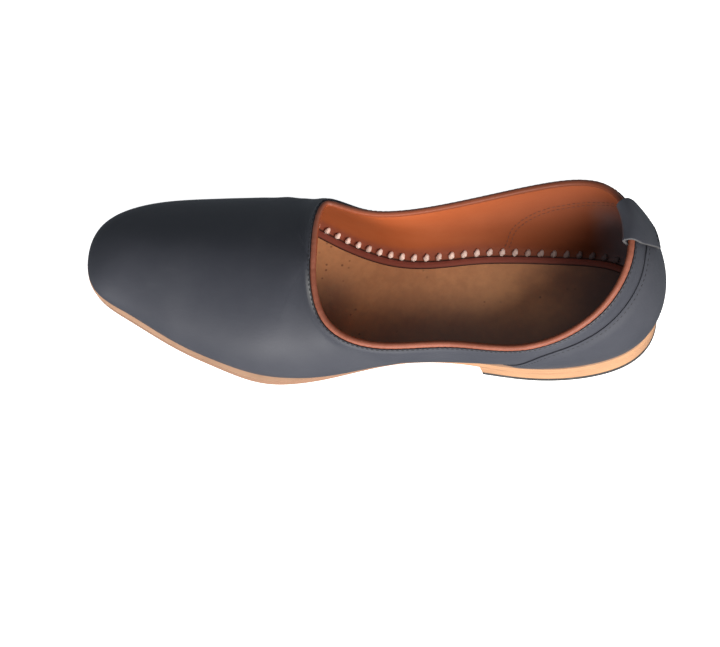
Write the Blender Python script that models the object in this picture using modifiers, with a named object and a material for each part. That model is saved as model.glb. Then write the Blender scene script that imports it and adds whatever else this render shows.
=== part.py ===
"""A left slip-on shoe of black leather with a brown collar, a tan leather sole and a low heel.

The shoe stands on the floor, toe towards +X, outer side of the foot towards +Y.
Tables are in millimetres: station from the back of the heel to the toe, side towards the
outer edge of the foot, height above the floor. The model itself is in metres.
"""
import bmesh
import bpy
import numpy as np

MM = 0.001

# The middle of the shoe's own box, which becomes the origin
MID_STATION = 142.4
MID_SIDE = -0.7

# Driving sizes
GAP = 0.3
SOLE_THICK = 4.5
TOE_SPRING = 10.0
SPRING_START = 225.0
SPRING_END = 289.0
WAIST_START = 165.0
WAIST_END = 85.0
HEEL_SEAT = 16.0
TOPPIECE_THICK = 2.4
HEEL_TAPER = 1.0
BREAST_ROW = 8.12
BREAST_HOLLOW = 4.0
WALL = 2.2
MARGIN = 7.0
INSOLE_THICK = 2.5
INSOLE_CLEAR = 1.0
COUNTER_THICK = 1.2
COUNTER_STANDOFF = 0.45
BINDING_RADIUS = 1.5
BINDING_INSET = 1.4
TAB_THICK = 1.4
TAB_ROW = 10.67
TAB_WIDTH = 20.5
TAB_END_WIDTH = 9.0
TAB_LIFT = 2.0
TAB_OUTER_LENGTH = 20.0
TAB_INNER_LENGTH = 12.0
TAB_STANDOFF = COUNTER_STANDOFF + COUNTER_THICK + GAP
TAB_INSET = BINDING_INSET + BINDING_RADIUS + 2 * GAP

# Shape of the wall, as shares of its height and numbers of rows
SWELL_SHARE = 0.42
AIM_ROWS = 1.5
COUNTER_FOOT = 0.03
FOLD_ROUNDNESS = 0.5

# Mesh fineness
COLUMNS_PER_ROW = 4
LEVELS = 9
ACROSS = 6
TAB_COLUMNS = 7
LEG_LEVELS = 5
FOLD_LEVELS = 9
SHARP_ANGLE = 40.0
WELD = 1e-6
STEP = 0.02

# Lower edge of the upper, a row for each section from toe to heel. Swell is how far the wall
# first leans out, crown and drop say how it arrives at the top: outward and below. Ledge is how
# far the sole stands out past this edge: under the waist it is cut in.
FEATHER_ROWS = [
    # name, outer station, outer side, inner station, inner side, swell, crown, drop, ledge
    ("toe tip", 288.0, -10.0, 288.0, -10.0, 2.0, 14.5, 0.0, 1.0),
    ("toe corner", 281.5, 10.0, 281.5, -28.0, 3.0, 15.0, 0.0, 1.0),
    ("toe side", 262.0, 20.5, 262.0, -40.0, 3.0, 16.0, 0.0, 1.8),
    ("forefoot", 237.0, 32.0, 237.0, -45.0, 3.0, 20.0, 0.0, 1.5),
    ("ball", 211.0, 41.0, 212.0, -47.0, 3.5, 24.5, 0.0, 1.6),
    ("throat", 185.0, 46.0, 194.0, -46.8, 6.0, 25.0, 0.0, 1.8),
    ("collar corner", 155.0, 43.0, 170.0, -37.0, 6.0, 11.0, 8.0, -1.0),
    ("waist", 122.0, 35.5, 127.0, -22.0, 7.0, 4.0, 12.0, -1.2),
    ("heel breast", 86.0, 32.8, 88.0, -24.0, 8.0, 2.5, 14.5, 1.2),
    ("heel side", 51.5, 33.0, 49.0, -26.5, 6.0, 0.0, 16.0, 2.0),
    ("heel corner", 16.5, 23.0, 15.0, -22.5, 8.0, 4.0, 20.0, 2.3),
    ("heel back", 3.0, 1.0, 3.0, 1.0, 9.5, 11.0, 21.0, 1.8),
]
THROAT_ROW = 5
BACK_ROW = len(FEATHER_ROWS) - 1

# Ridge of the vamp, a row for each section from toe to throat
RIDGE_ROWS = [
    # station, side, height
    (263.0, -10.0, 29.3),
    (259.5, -9.6, 30.2),
    (250.0, -8.2, 32.6),
    (226.5, -5.0, 38.5),
    (194.0, -1.5, 46.0),
    (162.5, 3.0, 54.0),
]

# Edge of the collar behind the throat, a row for each section to the back of the heel
COLLAR_ROWS = [
    # outer station, side, height, inner station, side, height
    (152.5, 33.0, 47.0, 161.5, -27.5, 53.0),
    (125.0, 42.8, 43.5, 137.5, -27.0, 47.5),
    (90.0, 40.3, 46.0, 93.5, -34.0, 50.2),
    (54.0, 42.3, 54.5, 56.0, -40.8, 58.0),
    (21.5, 27.6, 65.5, 22.0, -34.8, 71.0),
    (7.8, -3.5, 74.5, 7.8, -3.5, 74.5),
]

# Upper edge of the heel counter on each side of the foot
OUTER_COUNTER_ROWS = [
    # row, share of the wall's height
    (8.5, 0.06),
    (8.75, 0.38),
    (9.0, 0.72),
    (9.25, 0.84),
    (10.0, 0.84),
    (11.0, 0.88),
]
INNER_COUNTER_ROWS = [
    # row, share of the wall's height
    (8.25, 0.06),
    (8.5, 0.38),
    (8.75, 0.54),
    (9.0, 0.63),
    (9.5, 0.70),
    (10.0, 0.76),
    (11.0, 0.88),
]

COLOURS = {
    # piece: red, green, blue, roughness
    "outsole": (0.66, 0.42, 0.22, 0.6),
    "heel_lift": (0.64, 0.40, 0.21, 0.6),
    "heel_toppiece": (0.02, 0.02, 0.02, 0.7),
    "insole": (0.28, 0.15, 0.06, 0.7),
    "upper": (0.03, 0.03, 0.036, 0.4),
    "heel_counter": (0.03, 0.03, 0.036, 0.4),
    "collar_binding": (0.28, 0.11, 0.06, 0.5),
    "pull_tab": (0.025, 0.025, 0.028, 0.5),
}


def cubic(points, at, closed=False):
    """Smooth cubic curve through points on even steps, read at the given places."""
    points = np.asarray(points, float)
    count = len(points)
    before, after = np.roll(points, 1, 0), np.roll(points, -1, 0)
    pull = 6 * (before - 2 * points + after)
    matrix = 4 * np.eye(count) + np.roll(np.eye(count), 1, 1) + np.roll(np.eye(count), -1, 1)
    if not closed:
        for end in (0, count - 1):
            matrix[end] = np.eye(count)[end]
            pull[end] = 0
    bend = np.linalg.solve(matrix, pull)
    at = np.asarray(at, float)
    at = at % count if closed else np.clip(at, 0, count - 1 - 1e-9)
    low = at.astype(int) % count
    high = (low + 1) % count
    x = (at - np.floor(at))[:, None]
    y = 1 - x
    return (points[low] * y + points[high] * x
            + ((y ** 3 - y) * bend[low] + (x ** 3 - x) * bend[high]) / 6)


def around(outer, inner):
    """One closed ring of rows: down the outer side to the heel, back along the inner side."""
    return np.concatenate([outer, inner[-2:0:-1]])


FEATHER = np.array([row[1:] for row in FEATHER_ROWS])
RIDGE = np.array(RIDGE_ROWS)
COLLAR = np.array(COLLAR_ROWS)
EDGE_RING = around(FEATHER[:, 0:2], FEATHER[:, 2:4])
SHAPE_RING = around(FEATHER[:, 4:7], FEATHER[:, 4:7])
LEDGE_RING = around(FEATHER[:, 7:], FEATHER[:, 7:])
COLLAR_RING = np.concatenate([RIDGE[-1:], COLLAR[:, :3], COLLAR[-2::-1, 3:]])


def ring_place(rows, outer):
    """Place on the closed ring of rows for a row number on one side."""
    return rows if outer else (2 * BACK_ROW - rows) % (2 * BACK_ROW)


def edge(rows, outer, offset=0.0):
    """Plan points of the lower edge, moved outward by one offset or one a row, and the normals."""
    place = ring_place(rows, outer)
    points = cubic(EDGE_RING, place, True)
    along = cubic(EDGE_RING, place + STEP, True) - cubic(EDGE_RING, place - STEP, True)
    normal = np.stack([along[:, 1], -along[:, 0]], 1)
    normal /= np.linalg.norm(normal, axis=1)[:, None]
    return points + normal * np.reshape(offset, (-1, 1)), normal


def ledge(rows):
    """How far the sole stands out past the upper's lower edge, the same on both sides."""
    return cubic(LEDGE_RING, rows, True)[:, 0]


def seat_height(station):
    """Height of the sole's upper face above the floor along the shoe."""
    spring = np.clip((station - SPRING_START) / (SPRING_END - SPRING_START), 0, 2)
    waist = np.clip((WAIST_START - station) / (WAIST_START - WAIST_END), 0, 1)
    rise = waist * waist * (3 - 2 * waist)
    return SOLE_THICK + TOE_SPRING * spring ** 2 + (HEEL_SEAT - SOLE_THICK) * rise


def tops(rows, outer):
    """Where each column of the wall ends: on the vamp's ridge, or on the collar's edge."""
    front = rows <= THROAT_ROW
    last = np.clip(rows - (THROAT_ROW - 1), 0, 1)
    on_ridge = np.minimum(rows, THROAT_ROW - 1) + last + last ** 2 - last ** 3
    first = np.clip(rows - THROAT_ROW, 0, 1)
    on_collar = np.where(rows < THROAT_ROW + 1, 2 * first ** 2 - first ** 3, rows - THROAT_ROW)
    sections = BACK_ROW - THROAT_ROW
    place = on_collar if outer else (2 * sections - on_collar) % (2 * sections)
    points = np.where(front[:, None], cubic(RIDGE, on_ridge), cubic(COLLAR_RING, place, True))
    middle = np.clip(on_ridge, STEP, THROAT_ROW - STEP)
    along = cubic(RIDGE, middle + STEP) - cubic(RIDGE, middle - STEP)
    slope = along[:, 2] / along[:, 0] * np.clip(THROAT_ROW + 1 - rows, 0, 1)
    return points, slope


def wall(rows, outer, shares):
    """Outer face of the upper: a curved column from the lower edge at each row, read at shares."""
    plan, normal = edge(rows, outer)
    swell, crown, drop = cubic(SHAPE_RING, ring_place(rows, outer), True).T[:, :, None]
    head, slope = tops(rows, outer)
    up = np.array([0.0, 0.0, 1.0])
    out = np.column_stack([normal, np.zeros(len(rows))])
    foot = np.column_stack([plan, seat_height(plan[:, 0]) + GAP])
    rise = (head[:, 2] - foot[:, 2])[:, None]
    lower = foot + out * swell + up * SWELL_SHARE * rise
    inward = plan - head[:, :2]
    inward /= np.linalg.norm(inward, axis=1)[:, None]
    blend = np.clip((THROAT_ROW + AIM_ROWS - rows) / AIM_ROWS, 0, 1)[:, None]
    blend = blend * blend * (3 - 2 * blend)
    aim = inward * blend + normal * (1 - blend)
    aim /= np.linalg.norm(aim, axis=1)[:, None]
    reach = np.column_stack([aim, np.zeros(len(rows))]) * crown
    upper = head + reach - up * np.maximum(drop, 0)
    upper[:, 2] += slope * reach[:, 0]
    share = np.asarray(shares)
    if share.ndim == 1:
        share = np.tile(share, (len(rows), 1))
    v = share[:, :, None]
    return (foot[:, None] * (1 - v) ** 3 + 3 * lower[:, None] * v * (1 - v) ** 2
            + 3 * upper[:, None] * v ** 2 * (1 - v) + head[:, None] * v ** 3)


def face_normals(rows, outer, shares):
    """Outward normals of the outer face, from small steps along and up the wall."""
    share = np.clip(np.asarray(shares), STEP, 1 - STEP)
    along = wall(rows + STEP, outer, share) - wall(rows - STEP, outer, share)
    up = wall(rows, outer, share + STEP) - wall(rows, outer, share - STEP)
    normal = np.cross(along, up) * (1 if outer else -1)
    return normal / np.linalg.norm(normal, axis=2)[:, :, None]


def to_model(points):
    """Millimetres on the last to metres in the model's frame."""
    return (np.asarray(points) - (MID_STATION, MID_SIDE, 0.0)) * MM


def add_grid(mesh, grid, flip=False):
    """Add a sheet of quads through a grid of points, columns by levels."""
    grid = to_model(grid)
    verts = [[mesh.verts.new(point) for point in column] for column in grid]
    for left, right in zip(verts, verts[1:]):
        for level in range(len(left) - 1):
            corners = [left[level], right[level], right[level + 1], left[level + 1]]
            mesh.faces.new(corners[::-1] if flip else corners)


def finish_piece(name, mesh, thickness=0.0, outward=False):
    """Weld a mesh into a named object with its own material, as a shell where it has a wall."""
    bmesh.ops.remove_doubles(mesh, verts=mesh.verts, dist=WELD)
    bmesh.ops.dissolve_degenerate(mesh, edges=mesh.edges, dist=WELD)
    data = bpy.data.meshes.new(name)
    mesh.to_mesh(data)
    mesh.free()
    data.shade_smooth()
    data.set_sharp_from_angle(angle=np.radians(SHARP_ANGLE))
    piece = bpy.data.objects.new(name, data)
    SHOE.objects.link(piece)
    red, green, blue, roughness = COLOURS[name]
    material = bpy.data.materials.new(name)
    material.use_nodes = True
    shader = material.node_tree.nodes["Principled BSDF"]
    shader.inputs["Base Color"].default_value = (red, green, blue, 1.0)
    shader.inputs["Roughness"].default_value = roughness
    data.materials.append(material)
    if thickness:
        solid = piece.modifiers.new("wall", "SOLIDIFY")
        solid.thickness = thickness * MM
        solid.offset = 1.0 if outward else -1.0
        solid.use_even_offset = True
    return piece


def slab(name, rows, offset, top, bottom, taper=0.0, hollow=0.0):
    """A flat piece inside the edge outline, between two heights given along the shoe."""
    mesh = bmesh.new()
    shares = np.linspace(0, 1, ACROSS + 1)
    faces = []
    for height, inset in ((top, 0.0), (bottom, taper)):
        outer, _ = edge(rows, True, offset - inset)
        inner, _ = edge(rows, False, offset - inset)
        plan = outer[:, None] + (inner - outer)[:, None] * shares[None, :, None]
        plan[0, :, 0] -= hollow * 4 * shares * (1 - shares)
        faces.append(np.dstack([plan, height(plan[:, :, 0])]))
    upper, lower = faces
    add_grid(mesh, upper)
    add_grid(mesh, lower, flip=True)
    add_grid(mesh, np.stack([lower[:, 0], upper[:, 0]], 1))
    add_grid(mesh, np.stack([lower[:, -1], upper[:, -1]], 1), flip=True)
    add_grid(mesh, np.stack([lower[0], upper[0]], 1), flip=True)
    return finish_piece(name, mesh)


def row_steps(first, last):
    """Row numbers from first to last, with the same columns on every piece."""
    return np.arange(first * COLUMNS_PER_ROW, last * COLUMNS_PER_ROW + 1) / COLUMNS_PER_ROW


def build_sole():
    """Outsole, heel and insole, one above the other with a small gap between them."""
    all_rows = row_steps(0, BACK_ROW)
    heel_rows = np.append(BREAST_ROW, all_rows[all_rows > BREAST_ROW])
    slab("outsole", all_rows, ledge(all_rows), seat_height, lambda s: seat_height(s) - SOLE_THICK)
    slab("heel_lift", heel_rows, ledge(heel_rows), lambda s: seat_height(s) - SOLE_THICK - GAP,
         lambda s: 0 * s + TOPPIECE_THICK + GAP, HEEL_TAPER, BREAST_HOLLOW)
    slab("heel_toppiece", heel_rows, ledge(heel_rows) - HEEL_TAPER, lambda s: 0 * s + TOPPIECE_THICK,
         lambda s: 0 * s, 0.0, BREAST_HOLLOW)
    slab("insole", all_rows, -MARGIN - INSOLE_CLEAR, lambda s: seat_height(s) + GAP + INSOLE_THICK,
         lambda s: seat_height(s) + GAP)


def build_upper():
    """The hollow upper: outer face and turned-in margin as one sheet, thickened inward."""
    mesh = bmesh.new()
    rows = row_steps(0, BACK_ROW)
    shares = np.linspace(0, 1, LEVELS + 1)
    for outer in (True, False):
        face = wall(rows, outer, shares)
        plan, _ = edge(rows, outer, -MARGIN)
        margin = np.column_stack([plan, seat_height(plan[:, 0]) + GAP])
        add_grid(mesh, np.concatenate([margin[:, None], face], 1), flip=not outer)
    return finish_piece("upper", mesh, WALL)


def build_counter():
    """The heel counter: a thin cover on the outer face, up to a curved sewn edge."""
    mesh = bmesh.new()
    climb = np.linspace(0, 1, LEVELS)[None, :]
    for outer, table in ((True, OUTER_COUNTER_ROWS), (False, INNER_COUNTER_ROWS)):
        place, share = np.array(table).T
        rows = row_steps(place[0], BACK_ROW)
        edge_share = np.interp(rows, place, share)
        shares = COUNTER_FOOT + (edge_share - COUNTER_FOOT)[:, None] * climb
        face = wall(rows, outer, shares) + face_normals(rows, outer, shares) * COUNTER_STANDOFF
        add_grid(mesh, face, flip=not outer)
    return finish_piece("heel_counter", mesh, COUNTER_THICK, outward=True)


def collar_frame(rows, outer):
    """Collar edge points with the wall's normal and the way out of the wall's edge."""
    rows = np.maximum(rows, THROAT_ROW + STEP)
    top = wall(rows, outer, [1.0])[:, 0]
    normal = face_normals(rows, outer, [1.0])[:, 0]
    along = tops(rows + STEP, outer)[0] - tops(rows - STEP, outer)[0]
    rise = np.cross(normal, along) * (1 if outer else -1)
    rise /= np.linalg.norm(rise, axis=1)[:, None]
    return top, normal, rise


def build_binding():
    """The rolled binding: a closed tube that sits on the collar's edge."""
    rows = row_steps(THROAT_ROW, BACK_ROW)
    loop = []
    for outer in (True, False):
        top, normal, rise = collar_frame(rows, outer)
        path = top - normal * BINDING_INSET + rise * (BINDING_RADIUS + GAP)
        loop.append(path)
    loop[0][0] = loop[1][0] = (loop[0][0] + loop[1][0]) / 2
    path = np.concatenate([loop[0], loop[1][-2:0:-1]])
    curve = bpy.data.curves.new("collar_binding", "CURVE")
    curve.dimensions = "3D"
    curve.bevel_depth = BINDING_RADIUS * MM
    curve.bevel_resolution = 2
    spline = curve.splines.new("POLY")
    spline.points.add(len(path) - 1)
    for point, place in zip(spline.points, to_model(path)):
        point.co = (*place, 1.0)
    spline.use_cyclic_u = True
    guide = bpy.data.objects.new("binding_path", curve)
    SHOE.objects.link(guide)
    depsgraph = bpy.context.evaluated_depsgraph_get()
    tube = bpy.data.meshes.new_from_object(guide.evaluated_get(depsgraph))
    mesh = bmesh.new()
    mesh.from_mesh(tube)
    bpy.data.objects.remove(guide)
    bpy.data.meshes.remove(tube)
    return finish_piece("collar_binding", mesh)


def tab_leg(length, offset):
    """One leg of the tab, from the collar's edge down the wall, narrowing to its end."""
    down = np.linspace(0, 1, LEG_LEVELS)
    width = TAB_WIDTH + (TAB_END_WIDTH - TAB_WIDTH) * down
    beside = np.array([TAB_ROW - STEP, TAB_ROW + STEP])
    row_length = np.linalg.norm(np.diff(tops(beside, False)[0], axis=0)) / (2 * STEP)
    rows = TAB_ROW + np.linspace(-0.5, 0.5, TAB_COLUMNS)[:, None] * width / row_length
    flat = rows.ravel()
    upright = wall(flat, False, [1.0, 1.0 - STEP])
    wall_length = np.linalg.norm(upright[:, 0] - upright[:, 1], axis=1) / STEP
    shares = (1 - np.tile(length * down, TAB_COLUMNS) / wall_length)[:, None]
    points = wall(flat, False, shares) + face_normals(flat, False, shares) * offset
    return points.reshape(TAB_COLUMNS, LEG_LEVELS, 3), rows[:, 0]


def build_tab():
    """The pull tab: a strip folded over the binding at the back, inside and outside."""
    mesh = bmesh.new()
    outside, rows = tab_leg(TAB_OUTER_LENGTH, TAB_STANDOFF)
    inside, _ = tab_leg(TAB_INNER_LENGTH, -TAB_INSET)
    turns = np.linspace(0, np.pi, FOLD_LEVELS)[1:-1]
    sweep = np.sign(np.cos(turns)) * np.abs(np.cos(turns)) ** FOLD_ROUNDNESS
    lift = (2 * BINDING_RADIUS + 2 * GAP + TAB_LIFT) * np.sin(turns)
    centre = (outside[:, 0] + inside[:, 0]) / 2
    half = (outside[:, 0] - inside[:, 0]) / 2
    rise = collar_frame(rows, False)[2]
    fold = centre[:, None] + half[:, None] * sweep[:, None] + rise[:, None] * lift[:, None]
    add_grid(mesh, np.concatenate([outside[:, ::-1], fold, inside], 1), flip=True)
    return finish_piece("pull_tab", mesh, TAB_THICK, outward=True)


for old in list(bpy.data.objects):
    bpy.data.objects.remove(old)
SHOE = bpy.data.collections.new("slip_on_shoe")
bpy.context.scene.collection.children.link(SHOE)
build_sole()
build_upper()
build_counter()
build_binding()
build_tab()
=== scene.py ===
"""A left slip-on shoe of black leather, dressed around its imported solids.

Tables and sizes are in millimetres on the last: station from the back of the heel to the toe,
side towards the outer edge of the foot, height above the floor. Where a finish changes along the
shoe, it changes over a span in metres from the shoe's middle.
"""

import bmesh
import bpy
import numpy as np
from mathutils import Matrix


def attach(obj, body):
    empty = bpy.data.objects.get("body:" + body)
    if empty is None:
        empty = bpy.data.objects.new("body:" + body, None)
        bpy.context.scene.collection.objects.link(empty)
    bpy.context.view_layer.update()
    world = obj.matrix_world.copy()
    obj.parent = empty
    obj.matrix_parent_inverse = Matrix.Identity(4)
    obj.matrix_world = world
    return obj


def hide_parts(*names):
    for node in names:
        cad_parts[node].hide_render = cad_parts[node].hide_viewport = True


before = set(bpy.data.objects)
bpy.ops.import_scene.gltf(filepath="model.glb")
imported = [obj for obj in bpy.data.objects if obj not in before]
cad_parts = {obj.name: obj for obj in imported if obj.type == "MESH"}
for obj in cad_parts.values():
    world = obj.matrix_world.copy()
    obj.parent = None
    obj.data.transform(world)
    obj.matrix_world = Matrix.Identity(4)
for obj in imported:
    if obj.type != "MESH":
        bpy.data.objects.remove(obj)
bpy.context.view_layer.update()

# Outsole
# One thickness of tan sole leather, cut to the outline of the last with an upright edge.
# It lies flat under the ball of the foot, springs up at the toe and rises over the waist to the
# heel seat, and the lasted upper is pasted and sewn on top of it.
BODY = "root"
MM = 0.001
LAST_MIDDLE = np.array([142.4, -0.7, 0.0])
WELD = 1e-6
JUST_BEFORE = 1e-9
STEP = 0.02
COLUMNS_PER_ROW = 20
ACROSS = 24
SIDE_LEVELS = 7
GAP = 0.3
SOLE_THICK = 4.5
TOE_SPRING = 10.0
SPRING_START = 225.0
SPRING_END = 289.0
WAIST_START = 165.0
WAIST_END = 85.0
HEEL_SEAT = 16.0
SOLE_ROUNDING = 0.6
CLOUD_REACH = 0.02
SOLE_PALE_SPAN = (0.0, -0.06)
SOLE_FIBRES = (60.0, 60.0, 900.0)
SOLE_DARK_SHARE = 0.7
TAN = (0.285, 0.150, 0.076, 1.0)
TAN_FRONT = (0.170, 0.092, 0.056, 1.0)
TAN_DARK = (0.120, 0.056, 0.028, 1.0)
TAN_PAINTED_LIT_TOP = (0.530, 0.325, 0.215, 1.0)

# Lower edge of the upper, a row for each section from toe to heel. Swell is how far the wall
# first leans out, crown and drop say how it arrives at the top: outward and below. Ledge is how
# far the sole stands out past this edge: under the waist it is cut in.
FEATHER_ROWS = [
    # name, outer station, outer side, inner station, inner side, swell, crown, drop, ledge
    ("toe tip", 288.0, -10.0, 288.0, -10.0, 2.0, 14.5, 0.0, 1.0),
    ("toe corner", 281.5, 10.0, 281.5, -28.0, 3.0, 15.0, 0.0, 1.0),
    ("toe side", 262.0, 20.5, 262.0, -40.0, 3.0, 16.0, 0.0, 1.8),
    ("forefoot", 237.0, 32.0, 237.0, -45.0, 3.0, 20.0, 0.0, 1.5),
    ("ball", 211.0, 41.0, 212.0, -47.0, 3.5, 24.5, 0.0, 1.6),
    ("throat", 185.0, 46.0, 194.0, -46.8, 6.0, 25.0, 0.0, 1.8),
    ("collar corner", 155.0, 43.0, 170.0, -37.0, 6.0, 11.0, 8.0, -1.0),
    ("waist", 122.0, 35.5, 127.0, -22.0, 7.0, 4.0, 12.0, -1.2),
    ("heel breast", 86.0, 32.8, 88.0, -24.0, 8.0, 2.5, 14.5, 1.2),
    ("heel side", 51.5, 33.0, 49.0, -26.5, 6.0, 0.0, 16.0, 2.0),
    ("heel corner", 16.5, 23.0, 15.0, -22.5, 8.0, 4.0, 20.0, 2.3),
    ("heel back", 3.0, 1.0, 3.0, 1.0, 9.5, 11.0, 21.0, 1.8),
]
FEATHER = np.array([row[1:] for row in FEATHER_ROWS])
BACK_ROW = len(FEATHER_ROWS) - 1


def cubic(points, at, closed=False):
    """Smooth cubic curve through points on even steps, read at the given places."""
    points = np.asarray(points, float)
    count = len(points)
    before, after = np.roll(points, 1, 0), np.roll(points, -1, 0)
    pull = 6 * (before - 2 * points + after)
    matrix = 4 * np.eye(count) + np.roll(np.eye(count), 1, 1) + np.roll(np.eye(count), -1, 1)
    if not closed:
        for end in (0, count - 1):
            matrix[end] = np.eye(count)[end]
            pull[end] = 0
    bend = np.linalg.solve(matrix, pull)
    at = np.asarray(at, float)
    at = at % count if closed else np.clip(at, 0, count - 1 - JUST_BEFORE)
    low = at.astype(int) % count
    high = (low + 1) % count
    x = (at - np.floor(at))[:, None]
    y = 1 - x
    return (points[low] * y + points[high] * x
            + ((y ** 3 - y) * bend[low] + (x ** 3 - x) * bend[high]) / 6)


def around(outer, inner):
    """One closed ring of rows: down the outer side to the heel, back along the inner side."""
    return np.concatenate([outer, inner[-2:0:-1]])


EDGE_RING = around(FEATHER[:, 0:2], FEATHER[:, 2:4])
LEDGE_RING = around(FEATHER[:, 7:], FEATHER[:, 7:])


def ring_place(rows, outer):
    """Place on the closed ring of rows for a row number on one side."""
    return rows if outer else (2 * BACK_ROW - rows) % (2 * BACK_ROW)


def unit(ways):
    """Ways brought to a length of one."""
    return ways / np.linalg.norm(ways, axis=-1, keepdims=True)


def edge(rows, outer, offset=0.0):
    """Plan points of the lower edge, moved outward by one offset or one a row, and the normals."""
    place = ring_place(rows, outer)
    points = cubic(EDGE_RING, place, True)
    along = cubic(EDGE_RING, place + STEP, True) - cubic(EDGE_RING, place - STEP, True)
    normal = unit(np.stack([along[:, 1], -along[:, 0]], 1))
    return points + normal * np.reshape(offset, (-1, 1)), normal


def ledge(rows):
    """How far the sole stands out past the upper's lower edge, the same on both sides."""
    return cubic(LEDGE_RING, rows, True)[:, 0]


def soft(share):
    """A smooth step from 0 to 1 for a share that runs from 0 to 1."""
    share = np.clip(share, 0, 1)
    return share * share * (3 - 2 * share)


def seat_height(station):
    """Height of the sole's upper face above the floor along the shoe."""
    spring = np.clip((station - SPRING_START) / (SPRING_END - SPRING_START), 0, 2)
    waist = soft((WAIST_START - station) / (WAIST_START - WAIST_END))
    return SOLE_THICK + TOE_SPRING * spring ** 2 + (HEEL_SEAT - SOLE_THICK) * waist


def raised(face, rise):
    """The height of a face along the shoe, moved up or down."""
    return lambda station: face(station) + rise


def row_steps(first, last):
    """Close row numbers from first to last."""
    return np.linspace(first, last, int(round((last - first) * COLUMNS_PER_ROW)) + 1)


def slab(rows, offset, top, bottom, taper=0.0, hollow=0.0):
    """Grids of a flat piece inside the outline, between two heights given along the shoe."""
    shares = np.linspace(0, 1, ACROSS + 1)
    fade = 1 - soft(rows - rows[0])
    faces = []
    for height, inset in ((top, 0.0), (bottom, taper)):
        outer, _ = edge(rows, True, offset - inset)
        inner, _ = edge(rows, False, offset - inset)
        plan = outer[:, None] + (inner - outer)[:, None] * shares[:, None]
        plan[:, :, 0] -= hollow * fade[:, None] * 4 * shares * (1 - shares)
        faces.append(np.dstack([plan, height(plan[:, :, 0])]))
    upper, lower = faces
    climb = np.linspace(0, 1, SIDE_LEVELS)[:, None]
    sides = []
    for line, flip in ((np.s_[:, 0], False), (np.s_[:, -1], True), (np.s_[0], True)):
        low, high = lower[line], upper[line]
        sides.append((low[:, None] + (high - low)[:, None] * climb, flip))
    return [(upper, False), (lower, True)] + sides


def add_object(name, data):
    """A new object of the scene."""
    made = bpy.data.objects.new(name, data)
    bpy.context.scene.collection.objects.link(made)
    return made


def add_piece(name, points, faces, finish, node=None):
    """A named mesh in the shoe's frame that rides on its body and may stand for a solid."""
    data = bpy.data.meshes.new(name)
    data.from_pydata(((points - LAST_MIDDLE) * MM).tolist(), [], faces)
    data.materials.append(finish)
    piece = add_object(name, data)
    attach(piece, BODY)
    if node:
        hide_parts(node)
    return piece


def join_grids(name, grids, finish, node=None, masks=None):
    """One welded piece from grids of points, columns by levels. A named mask has a grid for each."""
    faces = []
    start = 0
    for grid, flip in grids:
        index = start + np.arange(grid.shape[0] * grid.shape[1]).reshape(grid.shape[:2])
        corners = [index[:-1, :-1], index[1:, :-1], index[1:, 1:], index[:-1, 1:]]
        faces.append(np.stack(corners[::-1] if flip else corners, -1).reshape(-1, 4))
        start += index.size
    points = np.concatenate([grid.reshape(-1, 3) for grid, _ in grids])
    piece = add_piece(name, points, np.concatenate(faces).tolist(), finish, node)
    for label, parts in (masks or {}).items():
        mask = piece.data.attributes.new(label, "FLOAT", "POINT")
        mask.data.foreach_set("value", np.concatenate([np.ravel(part) for part in parts]))
    mesh = bmesh.new()
    mesh.from_mesh(piece.data)
    bmesh.ops.remove_doubles(mesh, verts=mesh.verts, dist=WELD)
    bmesh.ops.dissolve_degenerate(mesh, edges=mesh.edges, dist=WELD)
    mesh.to_mesh(piece.data)
    mesh.free()
    piece.data.shade_smooth()
    return piece


def round_edges(piece, width, segments=3, sharp_angle=40.0):
    """Round the sharp edges of a piece by a width in millimetres."""
    bevel = piece.modifiers.new("rounded edges", "BEVEL")
    bevel.width = width * MM
    bevel.segments = segments
    bevel.limit_method = "ANGLE"
    bevel.angle_limit = np.radians(sharp_angle)
    bevel.harden_normals = True


class Field:
    """One socket of a finish. Sums and products of fields add the Math nodes that work them out."""

    def __init__(self, tree, socket):
        self.tree = tree
        self.socket = socket

    def node(self, kind, settings=None, sockets=None, output=0):
        """Any other node: its settings first, then the values or links of its sockets."""
        made = self.tree.nodes.new("ShaderNode" + kind)
        for name, value in (settings or {}).items():
            setattr(made, name, value)
        connect(self.tree, made, sockets or {})
        return Field(self.tree, made.outputs[output])

    def math(self, operation, first, second):
        return self.node("Math", {"operation": operation}, {0: first, 1: second})

    def __add__(self, other):
        return self.math("ADD", self, other)

    def __radd__(self, other):
        return self.math("ADD", other, self)

    def __rsub__(self, other):
        return self.math("SUBTRACT", other, self)

    def __mul__(self, other):
        return self.math("MULTIPLY", self, other)

    def __rmul__(self, other):
        return self.math("MULTIPLY", other, self)


def connect(tree, node, sockets):
    """Set or link the sockets of a node."""
    for name, value in sockets.items():
        if isinstance(value, Field):
            tree.links.new(value.socket, node.inputs[name])
        else:
            node.inputs[name].default_value = value


def new_finish(name):
    """A new material and the place on the shoe at which its patterns are read."""
    material = bpy.data.materials.new(name)
    material.use_nodes = True
    tree = material.node_tree
    place = Field(tree, tree.nodes.new("ShaderNodeTexCoord").outputs["Object"])
    return material, place


def apply_finish(material, **sockets):
    """Set the shader of a finish: spaces in socket names are written as underscores."""
    shader = material.node_tree.nodes["Principled BSDF"]
    named = {name.replace("_", " "): value for name, value in sockets.items()}
    connect(material.node_tree, shader, named)
    return material


def noise(place, scale, detail=2.0, rough=0.5):
    """A cloudy field around one half. Scale is in waves to the metre."""
    sockets = {"Vector": place, "Scale": scale, "Detail": detail, "Roughness": rough}
    return place.node("TexNoise", None, sockets)


def streaks(place, waves):
    """A cloudy field drawn out into streaks, with its own waves to the metre on each axis."""
    drawn = place.node("VectorMath", {"operation": "MULTIPLY"}, {0: place, 1: waves})
    return noise(drawn, scale=1.0, detail=3.0, rough=0.6)


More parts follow.
